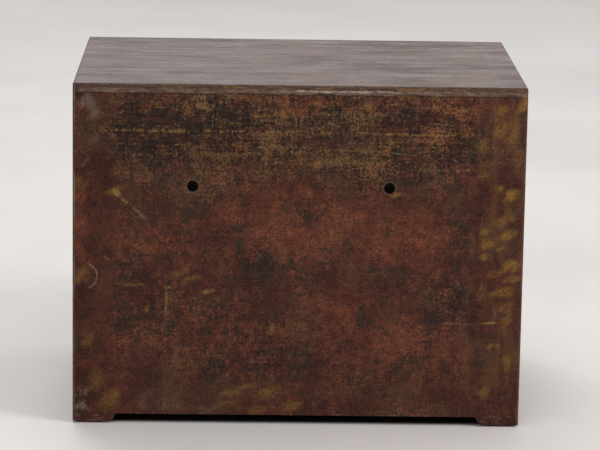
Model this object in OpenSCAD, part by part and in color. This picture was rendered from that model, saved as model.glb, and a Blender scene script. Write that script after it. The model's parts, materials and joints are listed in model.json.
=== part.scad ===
// Low steel filing cabinet with two columns of card and slip drawers.
// Millimetres. The floor is z = 0, the drawers open towards -Y and the flush back panel faces +Y.
// The origin is the centre of the whole object's footprint, drawer pulls included.

/* [Casing] */
// Width over the two side panels
cabinet_width = 610; // [580:1:680]
// Height from the floor to the top panel
cabinet_height = 470; // [450:1:520]
// Depth from the back panel to the drawer fronts
cabinet_depth = 430; // [400:1:480]
// Thickness of the casing's sheet steel
sheet = 1.5; // [1.2:0.1:1.8]
// Outer radius of every bend in the casing
bend_radius = 3.5; // [2.5:0.5:4]
// Height of the lip folded down all round the top panel
top_lip = 12.5; // [10:0.5:16]

/* [Base] */
// Thickness of the rubber pad under each foot
pad_height = 2.5; // [1.5:0.5:4]
// Width of a pad
pad_width = 42; // [34:1:44]
// Distance from a pad to the outer face of the casing
pad_inset = 6; // [5:0.5:7]
// Width of a corner foot at the floor
foot_width = 53.5; // [52:0.5:58]
// Extra width of a foot where it meets the casing
foot_slope = 5.5; // [3:0.5:6]
// Clear height under the casing between the feet
toe_gap = 11.1; // [9:0.1:14]
// Height of the plinth's top edge, which is the drawer opening's sill
sill_height = 36; // [34:1:42]

/* [Back panel holes] */
// Diameter of the two holes
hole_diameter = 15; // [12:0.5:16]
// Distance between their centres
hole_spacing = 265; // [250:1:280]
// How far the pair is off centre, towards +X
hole_offset = 11; // [0:1:14]
// Height of the holes above the floor
hole_height = 331; // [310:1:350]
// Width of the bevel round each hole
hole_bevel = 0.5; // [0.3:0.1:0.7]

/* [Drawers] */
// Number of drawers in each column
rows = 3; // [3:1:3]
// Width of the folded stiles beside and between the columns
stile_width = 14; // [12:0.5:16]
// Gap between neighbouring drawer fronts
front_gap = 3; // [2:0.5:4]
// Depth of a drawer front's pan
front_depth = 16; // [15:0.5:17]
// Sheet thickness of the drawers
drawer_sheet = 1.2; // [1:0.1:1.4]
// Height of a drawer's side walls
tray_height = 104; // [90:1:106]
// Clearance between a closed drawer's back wall and the back panel
tray_back_gap = 30; // [28:1:34]

/* [Drawer pulls] */
// How far a cup pull stands out from the drawer front
pull_depth = 24; // [22:1:26]
// Half the width of the cup
pull_half_width = 46; // [42:1:48]
// Height of the pull's lower edge above the front's lower edge
pull_height = 36; // [32:1:42]
// Height of the label holder's centre above the front's lower edge
label_height = 98; // [94:1:102]

/* [Hidden] */
// Facets of a round hole, and steps in a 90 degree bend.
$fn = 48;
bend_steps = 6;
columns = 2;
drawer_count = columns * rows;

// The casing's outer faces.
half_width = cabinet_width / 2;
back_y = (cabinet_depth + pull_depth) / 2;
front_y = back_y - cabinet_depth;
seam_z = cabinet_height - top_lip;

// The strips behind the seam under the top panel's lip, which the lip is fastened to.
backing_overlap = 12;
backing_gap = 4;
backing_top = cabinet_height - bend_radius;

// The base. The sheet starts on top of the pads, and the toe gap ends at toe_z.
toe_z = pad_height + toe_gap;
foot_root = foot_width + foot_slope;
foot_plate_size = 47;
pan_flange = 18;
fit_gap = 0.6;

// The front frame.
return_depth = 18;
rail_face = 8;
opening_top = seam_z - rail_face;
opening_half_width = (half_width - 1.5 * stile_width) / 2;
column_x = stile_width / 2 + opening_half_width;
row_pitch = (opening_top - sill_height) / rows;
front_width = 2 * opening_half_width - front_gap;
front_height = row_pitch - front_gap;

// Back bracing. The stiffener is a hat section whose middle stands hat_depth off the panel.
seam_strap_width = 24;
seam_strap_foot = 40;
seam_strap_top = seam_z - 14;
stiffener_z = 405;
stiffener_half_height = 10;
stiffener_flange = 10;
stiffener_end_gap = 2;
hat_depth = 8;
brace_clearance = 12;

// The trays and the rims that they hang by. weld_gap is the hairline between two welded sheets.
tray_half_width = opening_half_width - 11;
tray_floor_z = 5;
tray_depth = cabinet_depth - tray_back_gap;
weld_gap = 0.05;
rim_width = 9;
rim_lip = 3.5;
rim_top_z = tray_floor_z + tray_height;
rim_end = tray_depth - 2;
plate_inset = 1;

// The runners. A rim slides between a runner's ledge and its cap.
runner_clearance = 1.5;
runner_drop = 12;
runner_start = return_depth + sheet + 0.5;
runner_end = cabinet_depth - brace_clearance;
runner_ledge = rim_top_z - drawer_sheet - rim_lip - 0.3;
runner_cap = rim_top_z + 0.8;
buffer_gap = 1;
buffer_clearance = 2;

// The follower block and the slotted track that guides it, in the drawer's own coordinates.
track_half_width = 12;
track_height = 8;
track_start = 40;
track_end = 385;
slot_half_width = 4;
follower_y = 340;
follower_half_width = 122;
follower_height = 103;
follower_flange = 12;
follower_foot = [30, 42];
follower_corner = 10;
follower_play = 0.4;
finger_radius = 14;
neck_clearance = 0.5;
neck_depth = 1.7;
tongue_half_width = 8;
tongue_thickness = 2;
tongue_reach = [4, 38];

// The cup pull, the label holder and their fasteners.
cup_steps = 36;
pull_wall = 1.4;
pull_ear = 14;
pull_ear_height = 13;
pull_screw_x = pull_half_width + pull_ear / 2;
pull_screw_z = pull_height + pull_ear_height / 2;
label_size = [68, 30];
label_window = [56, 20];
label_depth = 2.2;
label_ear = 9;
label_ear_height = 12;
label_sheet = 0.8;
label_rail = 2;
label_rivet_x = (label_size[0] + label_ear) / 2;
pull_screw_radius = 2;
label_rivet_radius = 1.5;
screw_clearance = 0.1;
screw_tail = 5;

DRAWER_PIECES = ["tray", "front", "pull", "label_holder", "track", "follower", "screws"];
CASING_NODES = [
    "left_side_panel", "right_side_panel", "top_panel", "back_panel", "back_stiffener", "back_seam_straps",
    "base_pan", "plinth_rail", "centre_stile", "top_rail", "centre_partition", "left_bay_runners",
    "right_bay_runners", "drawer_buffers", "foot_plates", "foot_pads"
];

// ---------------------------------------------------------------- shared shapes

// A box between two opposite corners.
module block(low, high) {
    translate(low) cube(high - low);
}

// The mirror image of the children about x = 0, beside the children themselves.
module both_sides() {
    children();
    mirror([1, 0, 0]) children();
}

// Lays a 2D outline drawn as (x, z) in the XZ plane, and thickens it towards +Y.
module upright(thickness) {
    translate([0, thickness, 0]) rotate([90, 0, 0]) linear_extrude(thickness) children();
}

// Lays a 2D outline drawn as (y, z) in the YZ plane, and thickens it towards +X.
module sideways(thickness) {
    rotate([90, 0, 90]) linear_extrude(thickness) children();
}

// Points on a round bend, from one angle to another.
function bend(centre, radius, from, to) = [
    for (step = [0:bend_steps])
        let (angle = from + (to - from) * step / bend_steps)
            centre + radius * [cos(angle), sin(angle)]
];

// A rectangle whose four corners are round.
function round_rectangle(low, high, radius) = concat(
    bend([high[0] - radius, high[1] - radius], radius, 0, 90),
    bend([low[0] + radius, high[1] - radius], radius, 90, 180),
    bend([low[0] + radius, low[1] + radius], radius, 180, 270),
    bend([high[0] - radius, low[1] + radius], radius, 270, 360)
);

// A rectangle whose two upper corners are round.
function round_topped(low, high, radius) = concat(
    bend([high[0] - radius, high[1] - radius], radius, 0, 90),
    bend([low[0] + radius, high[1] - radius], radius, 90, 180),
    [[low[0], low[1]], [high[0], low[1]]]
);

// The cut-out between two feet along a panel of the given length, from below the floor pads upwards.
function toe_cutout(length) =
    let (floor_inset = foot_width - foot_slope * pad_height / toe_gap)
        [[floor_inset, 0], [foot_root, toe_z], [length - foot_root, toe_z], [length - floor_inset, 0]];

// A pan lying face up: a sheet with a lip folded down on all four sides, and round outer edges.
module folded_pan(width, depth, height, thickness, radius) {
    module solid_pan(w, d, h, r) {
        intersection() {
            linear_extrude(h) polygon(round_rectangle([-w / 2, -d / 2], [w / 2, d / 2], r));
            translate([0, -d / 2, 0]) upright(d) polygon(round_topped([-w / 2, 0], [w / 2, h], r));
            translate([-w / 2, 0, 0]) sideways(w) polygon(round_topped([-d / 2, 0], [d / 2, h], r));
        }
    }
    difference() {
        solid_pan(width, depth, height, radius);
        translate([0, 0, -thickness])
            solid_pan(width - 2 * thickness, depth - 2 * thickness, height, radius - thickness);
    }
}

// A domed screw or rivet along +Y, with its head's underside at y = 0 and its head towards -Y.
module domed_fastener(shank_radius, length) {
    head_radius = 2 * shank_radius;
    head_height = 0.9 * shank_radius;
    dome = (head_radius * head_radius + head_height * head_height) / (2 * head_height);
    rim_angle = asin(head_radius / dome);
    rotate([90, 0, 0]) rotate_extrude() polygon(concat(
        [[0, -length], [shank_radius, -length], [shank_radius, 0]],
        [for (step = [0:bend_steps])
            let (angle = rim_angle * (1 - step / bend_steps))
                [dome * sin(angle), dome * cos(angle) - dome + head_height]]
    ));
}

// ---------------------------------------------------------------- casing

// The plan outline of a side panel, folded from one sheet: front return and flange, side, back flange.
// It is drawn with the side's outer face at x = 0 and the front at y = 0.
function side_plan() =
    let (inner = bend_radius - sheet, back = cabinet_depth - bend_radius, fold = stile_width - bend_radius)
        concat(
            [[stile_width, return_depth]],
            bend([fold, bend_radius], bend_radius, 0, -90),
            bend([bend_radius, bend_radius], bend_radius, -90, -180),
            bend([bend_radius, back], bend_radius, 180, 90),
            [[foot_root, cabinet_depth], [foot_root, cabinet_depth - sheet]],
            bend([bend_radius, back], inner, 90, 180),
            bend([bend_radius, bend_radius], inner, 180, 270),
            bend([fold, bend_radius], inner, 270, 360),
            [[stile_width - sheet, return_depth]]
        );

module left_side_panel() {
    color([0.27, 0.15, 0.10]) difference() {
        union() {
            translate([-half_width, front_y, pad_height])
                linear_extrude(seam_z - pad_height) polygon(side_plan());
            block(
                [-half_width + sheet, front_y + return_depth + backing_gap, seam_z - backing_overlap],
                [-half_width + 2 * sheet, back_y - 2 * bend_radius, backing_top]
            );
        }
        translate([-half_width - 1, front_y, 0])
            sideways(sheet + 2) polygon(toe_cutout(cabinet_depth));
        translate([-half_width, back_y - 2 * sheet, 0])
            upright(3 * sheet) polygon(toe_cutout(cabinet_width));
        // Room for the foot plate under the front return.
        block(
            [-half_width + stile_width - bend_radius, front_y + sheet, 0],
            [-half_width + stile_width + 1, front_y + return_depth + 1, pad_height + sheet]
        );
    }
}

module top_panel() {
    color([0.47, 0.42, 0.40]) translate([0, back_y - cabinet_depth / 2, seam_z])
        folded_pan(cabinet_width, cabinet_depth, top_lip, sheet, bend_radius);
}

module back_panel() {
    hem = 14;
    panel_half_width = half_width - foot_root;
    color([0.30, 0.16, 0.10]) difference() {
        union() {
            block([-panel_half_width, back_y - sheet, toe_z], [panel_half_width, back_y, seam_z]);
            block(
                [-panel_half_width, back_y - hem, toe_z],
                [panel_half_width, back_y - sheet, toe_z + sheet]
            );
            block(
                [-panel_half_width, back_y - 2 * sheet, seam_z - backing_overlap],
                [panel_half_width, back_y - sheet, backing_top]
            );
        }
        for (side = [-1, 1])
            translate([hole_offset + side * hole_spacing / 2, back_y, hole_height]) rotate([90, 0, 0]) {
                translate([0, 0, -1]) cylinder(h = 3 * sheet, d = hole_diameter);
                translate([0, 0, -0.01]) cylinder(
                    h = hole_bevel,
                    d1 = hole_diameter + 2 * hole_bevel,
                    d2 = hole_diameter
                );
            }
    }
}

module back_stiffener() {
    length = cabinet_width - 2 * foot_root - seam_strap_width - 2 * stiffener_end_gap;
    web = stiffener_half_height;
    edge = web + stiffener_flange;
    hat = [
        [0, -edge], [0, -web], [-hat_depth + sheet, -web], [-hat_depth + sheet, web], [0, web], [0, edge],
        [-sheet, edge], [-sheet, web + sheet], [-hat_depth, web + sheet], [-hat_depth, -web - sheet],
        [-sheet, -web - sheet], [-sheet, -edge]
    ];
    color([0.24, 0.17, 0.14]) translate([-length / 2, back_y - sheet, stiffener_z])
        sideways(length) polygon(hat);
}

module back_seam_straps() {
    seam_x = half_width - foot_root;
    color([0.24, 0.17, 0.14]) both_sides() block(
        [seam_x - seam_strap_width / 2, back_y - 2 * sheet, seam_strap_foot],
        [seam_x + seam_strap_width / 2, back_y - sheet, seam_strap_top]
    );
}

module base_pan() {
    half = half_width - sheet - fit_gap;
    low = [-half, front_y + return_depth, toe_z + sheet];
    high = [half, back_y - sheet - fit_gap, toe_z + sheet + pan_flange];
    wall = [sheet, sheet, sheet];
    color([0.22, 0.16, 0.13]) difference() {
        block(low, high);
        block(low + wall, [high[0] - sheet, high[1] - sheet, high[2] + 1]);
    }
}

module plinth_rail() {
    half = half_width - stile_width;
    color([0.27, 0.15, 0.10]) {
        difference() {
            block([-half, front_y, pad_height], [half, front_y + sheet, sill_height]);
            translate([-half_width, front_y - 1, 0])
                upright(sheet + 2) polygon(toe_cutout(cabinet_width));
        }
        block(
            [-half, front_y + sheet, sill_height - sheet],
            [half, front_y + return_depth, sill_height]
        );
    }
}

module centre_stile() {
    half = stile_width / 2;
    color([0.27, 0.15, 0.10]) difference() {
        block([-half, front_y, sill_height], [half, front_y + return_depth, opening_top]);
        block(
            [-half + sheet, front_y + sheet, sill_height - 1],
            [half - sheet, front_y + return_depth + 1, opening_top + 1]
        );
    }
}

module top_rail() {
    half = half_width - stile_width;
    color([0.27, 0.15, 0.10]) {
        block([-half, front_y, opening_top], [half, front_y + sheet, seam_z]);
        block(
            [-half, front_y + sheet, opening_top],
            [half, front_y + 2 * sheet, backing_top]
        );
        block(
            [-half, front_y + 2 * sheet, opening_top],
            [half, front_y + return_depth, opening_top + sheet]
        );
    }
}

module centre_partition() {
    floor_z = toe_z + 2 * sheet;
    roof_z = cabinet_height - sheet;
    flange_half = stile_width / 2;
    flange_y = front_y + return_depth;
    color([0.24, 0.17, 0.14]) {
        block(
            [-sheet / 2, flange_y + sheet, floor_z],
            [sheet / 2, back_y - brace_clearance, roof_z]
        );
        block(
            [-flange_half, flange_y, floor_z + pan_flange],
            [flange_half, flange_y + sheet, roof_z]
        );
    }
}

// One folded runner, seen from the front, with its web against a wall at x = -wall_distance.
function runner_section(wall_distance) =
    let (
        web = -wall_distance,
        edge = -tray_half_width - runner_clearance,
        ledge = runner_ledge,
        cap = runner_cap
    ) [
        [web, ledge - runner_drop], [web + sheet, ledge - runner_drop], [web + sheet, ledge - sheet],
        [edge, ledge - sheet], [edge, ledge], [web + sheet, ledge], [web + sheet, cap], [edge, cap],
        [edge, cap + sheet], [web, cap + sheet]
    ];

// Distances from a column's centre line to the wall on its outer side and to the partition.
outer_wall = half_width - sheet - column_x;
inner_wall = column_x - sheet / 2;

module left_bay_runners() {
    length = runner_end - runner_start;
    color([0.35, 0.30, 0.27]) for (row = [0:rows - 1])
        translate([-column_x, front_y + runner_start, drawer_z(row)]) {
            upright(length) polygon(runner_section(outer_wall));
            mirror([1, 0, 0]) upright(length) polygon(runner_section(inner_wall));
        }
}

module drawer_buffers() {
    module buffer(wall_distance) {
        block(
            [-wall_distance + sheet, rim_end + buffer_gap, runner_ledge],
            [-tray_half_width - buffer_clearance, runner_end, runner_cap]
        );
    }
    color([0.08, 0.08, 0.08]) both_sides() for (row = [0:rows - 1])
        translate([-column_x, front_y, drawer_z(row)]) {
            buffer(outer_wall);
            mirror([1, 0, 0]) buffer(inner_wall);
        }
}

// The children in each corner of the casing. They are drawn for a casing that spreads from the origin
// towards +X and +Y.
module each_corner() {
    both_sides() translate([-half_width, 0, 0]) {
        translate([0, front_y, 0]) children();
        translate([0, back_y, 0]) mirror([0, 1, 0]) children();
    }
}

module foot_plates() {
    low = [sheet, sheet];
    color([0.24, 0.17, 0.14]) each_corner() translate([0, 0, pad_height]) linear_extrude(sheet)
        polygon(round_rectangle(low, low + [foot_plate_size, foot_plate_size], bend_radius));
}

module foot_pads() {
    corner_radius = 5;
    low = [pad_inset, pad_inset];
    color([0.06, 0.06, 0.06]) each_corner() linear_extrude(pad_height)
        polygon(round_rectangle(low, low + [pad_width, pad_width], corner_radius));
}

// ---------------------------------------------------------------- drawers
// Each is drawn with x = 0 on its centre line, y = 0 on its front face and z = 0 at its lower edge.

// Height of the lower edge of a drawer front. Row 0 is the bottom one.
function drawer_z(row) = sill_height + front_gap / 2 + row * row_pitch;

// Spot-welded from five sheets: an inner front plate, a floor, a back and two sides with folded rims.
module drawer_tray() {
    wall = drawer_sheet;
    plate_half = front_width / 2 - plate_inset;
    start = front_depth + wall + weld_gap;
    inner_half = tray_half_width - wall - weld_gap;
    rim_lip_z = rim_top_z - wall - rim_lip;
    rim_edge = tray_half_width + rim_width;
    color([0.33, 0.26, 0.22]) {
        block(
            [-plate_half, front_depth, plate_inset],
            [plate_half, front_depth + wall, front_height - plate_inset]
        );
        block(
            [-inner_half, start, tray_floor_z],
            [inner_half, tray_depth - wall - weld_gap, tray_floor_z + wall]
        );
        block([-inner_half, tray_depth - wall, tray_floor_z], [inner_half, tray_depth, rim_top_z]);
        both_sides() {
            block([tray_half_width - wall, start, tray_floor_z], [tray_half_width, tray_depth, rim_top_z]);
            block([tray_half_width, start, rim_top_z - wall], [rim_edge, rim_end, rim_top_z]);
            block([rim_edge - wall, start, rim_lip_z], [rim_edge, rim_end, rim_top_z - wall]);
        }
    }
}

// Holes through a drawer front or a fitting on it, at the fasteners' places.
module fastener_holes() {
    reach = 3;
    both_sides() {
        translate([pull_screw_x, reach, pull_screw_z]) rotate([90, 0, 0])
            cylinder(h = 2 * reach, r = pull_screw_radius + screw_clearance);
        translate([label_rivet_x, reach, label_height]) rotate([90, 0, 0])
            cylinder(h = 2 * reach, r = label_rivet_radius + screw_clearance);
    }
}

module drawer_front() {
    front_bend = 2.5;
    color([0.29, 0.16, 0.10]) difference() {
        translate([0, front_depth, front_height / 2]) rotate([90, 0, 0])
            folded_pan(front_width, front_height, front_depth, drawer_sheet, front_bend);
        fastener_holes();
    }
}

// Half an ellipsoid's outline, for revolving about the pull's long axis.
function cup_outline(half_length, radius) = [
    for (step = [0:cup_steps])
        let (angle = -90 + 180 * step / cup_steps)
            [radius * cos(angle), half_length * sin(angle)]
];

module drawer_pull() {
    cup_radius = pull_depth;
    rim = 4;
    ear_corner = 3;
    flange = [
        for (step = [0:cup_steps])
            let (angle = 180 * step / cup_steps)
                [(pull_half_width + rim) * cos(angle), (cup_radius + rim) * sin(angle)]
    ];
    module cup_solid(half_length, radius) {
        rotate([0, 90, 0]) rotate_extrude() polygon(cup_outline(half_length, radius));
    }
    color([0.46, 0.42, 0.38]) difference() {
        translate([0, 0, pull_height]) difference() {
            union() {
                intersection() {
                    cup_solid(pull_half_width, cup_radius);
                    block([-pull_half_width, -cup_radius, 0], [pull_half_width, 0, cup_radius]);
                }
                translate([0, -pull_wall, 0]) upright(pull_wall) polygon(flange);
                translate([0, -pull_wall, 0]) upright(pull_wall) polygon(round_rectangle(
                    [-pull_half_width - pull_ear, 0],
                    [pull_half_width + pull_ear, pull_ear_height],
                    ear_corner
                ));
            }
            cup_solid(pull_half_width - pull_wall, cup_radius - pull_wall);
        }
        fastener_holes();
    }
}

module drawer_label_holder() {
    half = label_size / 2;
    window = label_window / 2;
    card_gap = label_depth - label_sheet;
    ear_x = half[0] + label_ear;
    color([0.46, 0.42, 0.38]) difference() {
        translate([0, 0, label_height]) {
            difference() {
                block([-half[0], -label_depth, -half[1]], [half[0], 0, half[1]]);
                block([-window[0], -label_depth - 1, -window[1]], [window[0], 1, window[1]]);
                block(
                    [-half[0] + label_rail, -card_gap, -half[1] + label_rail],
                    [half[0] - label_rail, 1, half[1] + 1]
                );
            }
            both_sides() block(
                [half[0], -label_sheet, -label_ear_height / 2],
                [ear_x, 0, label_ear_height / 2]
            );
        }
        fastener_holes();
    }
}

module drawer_screws() {
    color([0.52, 0.49, 0.45]) both_sides() {
        translate([pull_screw_x, -pull_wall, pull_screw_z])
            domed_fastener(pull_screw_radius, pull_wall + screw_tail);
        translate([label_rivet_x, -label_sheet, label_height])
            domed_fastener(label_rivet_radius, label_sheet + screw_tail);
    }
}

module drawer_track() {
    wall = drawer_sheet;
    half = track_half_width;
    section = [
        [-half, 0], [half, 0], [half, track_height], [slot_half_width, track_height],
        [slot_half_width, track_height - wall], [half - wall, track_height - wall], [half - wall, wall],
        [-half + wall, wall], [-half + wall, track_height - wall], [-slot_half_width, track_height - wall],
        [-slot_half_width, track_height], [-half, track_height]
    ];
    color([0.40, 0.36, 0.33]) translate([0, track_start, tray_floor_z + drawer_sheet])
        upright(track_end - track_start) polygon(section);
}

// A plate with a finger notch, stiffened at its edges, on a foot whose tongue rides inside the track.
module drawer_follower() {
    track_top = tray_floor_z + drawer_sheet + track_height;
    foot_z = track_top + follower_play;
    top_z = foot_z + follower_height;
    half = follower_half_width;
    corner = follower_corner;
    neck_half = slot_half_width - neck_clearance;
    neck_z = track_top - neck_depth;
    plate = concat(
        [[-half, foot_z], [half, foot_z]],
        bend([half - corner, top_z - corner], corner, 0, 90),
        bend([0, top_z], finger_radius, 360, 180),
        bend([-half + corner, top_z - corner], corner, 90, 180)
    );
    color([0.31, 0.25, 0.22]) translate([0, follower_y, 0]) {
        upright(sheet) polygon(plate);
        both_sides() block([half - sheet, sheet, foot_z], [half, follower_flange, top_z - 1.4 * corner]);
        block([-follower_foot[0], sheet, foot_z], [follower_foot[0], follower_foot[1], foot_z + sheet]);
        block([-neck_half, tongue_reach[0], neck_z], [neck_half, tongue_reach[1], foot_z]);
        block(
            [-tongue_half_width, tongue_reach[0], neck_z - tongue_thickness],
            [tongue_half_width, tongue_reach[1], neck_z]
        );
    }
}

module drawer_piece(piece) {
    if (piece == "tray") drawer_tray();
    if (piece == "front") drawer_front();
    if (piece == "pull") drawer_pull();
    if (piece == "label_holder") drawer_label_holder();
    if (piece == "track") drawer_track();
    if (piece == "follower") drawer_follower();
    if (piece == "screws") drawer_screws();
}

// Drawers are numbered from the top left as seen from the front, along each row and then down.
module place_drawer(number) {
    column = (number - 1) % columns;
    row = rows - 1 - floor((number - 1) / columns);
    translate([(2 * column - 1) * column_x, front_y, drawer_z(row)]) children();
}

// ---------------------------------------------------------------- nodes

left_side_panel();
mirror([1, 0, 0]) left_side_panel();  // right_side_panel
top_panel();
back_panel();
back_stiffener();
back_seam_straps();
base_pan();
plinth_rail();
centre_stile();
top_rail();
centre_partition();
left_bay_runners();
mirror([1, 0, 0]) left_bay_runners();  // right_bay_runners
drawer_buffers();
foot_plates();
foot_pads();
for (number = [1:drawer_count])
    for (piece = DRAWER_PIECES)
        place_drawer(number) drawer_piece(piece);
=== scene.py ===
"""Looks for the low steel filing cabinet: patinated and lacquered sheet steel, in a pale studio."""

import json
import math
from types import SimpleNamespace

import bpy
from mathutils import Matrix, Vector


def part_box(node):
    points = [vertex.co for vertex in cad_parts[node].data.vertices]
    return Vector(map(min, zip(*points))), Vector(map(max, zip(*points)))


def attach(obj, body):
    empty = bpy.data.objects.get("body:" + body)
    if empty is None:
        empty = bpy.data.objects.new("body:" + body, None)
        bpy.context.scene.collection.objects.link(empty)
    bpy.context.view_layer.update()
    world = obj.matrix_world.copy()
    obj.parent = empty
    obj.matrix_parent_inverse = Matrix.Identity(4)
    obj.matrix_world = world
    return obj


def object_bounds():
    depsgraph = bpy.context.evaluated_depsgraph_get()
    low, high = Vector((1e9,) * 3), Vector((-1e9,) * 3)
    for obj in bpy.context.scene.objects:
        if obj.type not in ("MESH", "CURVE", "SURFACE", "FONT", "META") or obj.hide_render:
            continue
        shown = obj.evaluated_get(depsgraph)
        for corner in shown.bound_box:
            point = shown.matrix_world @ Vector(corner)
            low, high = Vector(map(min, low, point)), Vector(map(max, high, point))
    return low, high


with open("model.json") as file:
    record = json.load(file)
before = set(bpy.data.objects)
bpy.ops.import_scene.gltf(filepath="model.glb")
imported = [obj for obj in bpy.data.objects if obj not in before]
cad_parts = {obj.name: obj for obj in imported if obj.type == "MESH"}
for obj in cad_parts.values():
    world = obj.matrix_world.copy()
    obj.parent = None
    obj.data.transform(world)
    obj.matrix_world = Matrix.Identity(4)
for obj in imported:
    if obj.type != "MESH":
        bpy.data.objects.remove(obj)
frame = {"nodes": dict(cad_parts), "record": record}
cad_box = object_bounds()

NODES = frame["nodes"]
DRAWERS = range(1, 7)

# ---------------------------------------------------------------- places worked out from the frame

HALF_WIDTH, BACK_Y, TOP_Z = cad_box[1]
FRONT_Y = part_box("plinth_rail")[0].y
SEAM_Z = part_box("top_panel")[0].z
TOE_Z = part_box("back_panel")[0].z
WALL_HOLES = frame["record"]["mounts"][0]
HOLE_RADIUS = WALL_HOLES["dims"]["hole_r_mm"] / 1000
HOLE_SPREAD = WALL_HOLES["dims"]["spacing_x_mm"] / 2000

# ---------------------------------------------------------------- camera and light

# Where the photograph was taken from, fitted to the cabinet's corners in it: behind it, with a long lens.
CAMERA_PLACE = (0.0796, BACK_Y + 3.942, 1.1032)
CAMERA_YAW = math.radians(1.181)
CAMERA_PITCH = math.radians(11.801)
CAMERA_ROLL = math.radians(0.917)
CAMERA_LENS = 179.14
CAMERA_REACH = 100.0
SENSOR_WIDTH = 36.0

SURROUND_COLOUR = (1.0, 0.985, 0.97)
SURROUND_STRENGTH = 0.62
# Three soft lights, as (name, place, size, watts, colour). The key light is on the image's right.
LIGHTS = [
    ("key", (-2.6, 1.5, 1.9), (1.3, 1.3), 60, (1.0, 0.97, 0.94)),
    ("fill_back", (1.5, 3.4, 2.2), (2.6, 2.0), 30, (1.0, 1.0, 1.0)),
    ("fill_front", (0.8, -2.6, 3.6), (2.4, 1.8), 60, (1.0, 1.0, 1.0)),
]
LIGHT_AIM = (0.0, 0.0, 0.2)


def place_in_scene(name, data, matrix):
    placed = bpy.data.objects.new(name, data)
    bpy.context.scene.collection.objects.link(placed)
    placed.matrix_world = matrix
    return placed


def add_camera():
    """The camera looks towards -Y, turned a little, tilted down and rolled."""
    data = bpy.data.cameras.new("camera")
    data.lens = CAMERA_LENS
    data.sensor_width = SENSOR_WIDTH
    data.clip_end = CAMERA_REACH
    level = Matrix.Rotation(math.pi, 4, "Z") @ Matrix.Rotation(math.pi / 2, 4, "X")
    turn = (
        Matrix.Rotation(-CAMERA_YAW, 4, "Z")
        @ level
        @ Matrix.Rotation(-CAMERA_PITCH, 4, "X")
        @ Matrix.Rotation(CAMERA_ROLL, 4, "Z")
    )
    bpy.context.scene.camera = place_in_scene("camera", data, Matrix.Translation(CAMERA_PLACE) @ turn)


def add_area_light(name, place, size, watts, colour):
    data = bpy.data.lights.new(name, "AREA")
    data.shape = "RECTANGLE"
    data.size, data.size_y = size
    data.energy = watts
    data.color = colour
    turn = (Vector(LIGHT_AIM) - Vector(place)).to_track_quat("-Z", "Y").to_matrix().to_4x4()
    place_in_scene(name, data, Matrix.Translation(place) @ turn)


def add_studio():
    """A pale surround and the soft lights."""
    scene = bpy.context.scene
    scene.view_settings.view_transform = "Standard"
    world = bpy.data.worlds.new("studio")
    world.use_nodes = True
    background = world.node_tree.nodes["Background"]
    background.inputs["Color"].default_value = rgba(SURROUND_COLOUR)
    background.inputs["Strength"].default_value = SURROUND_STRENGTH
    scene.world = world
    for light in LIGHTS:
        add_area_light(*light)


# ---------------------------------------------------------------- shader arithmetic

# The mean and the standard deviation of Blender's flat noise texture.
NOISE_MEAN = 0.5
NOISE_SPREAD = 0.09
# How far apart two seeds move the flat noise, across and up.
SEED_STEP = (3.7, 5.9)
# The part of a patch's or stroke's radius, from its middle, over which it is at full strength.
PATCH_CORE = 0.25
STROKE_CORE = 0.3


def rgba(colour):
    """A colour socket as it is, or three numbers with an opaque fourth."""
    return colour if isinstance(colour, bpy.types.NodeSocket) else (*colour, 1.0)


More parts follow.
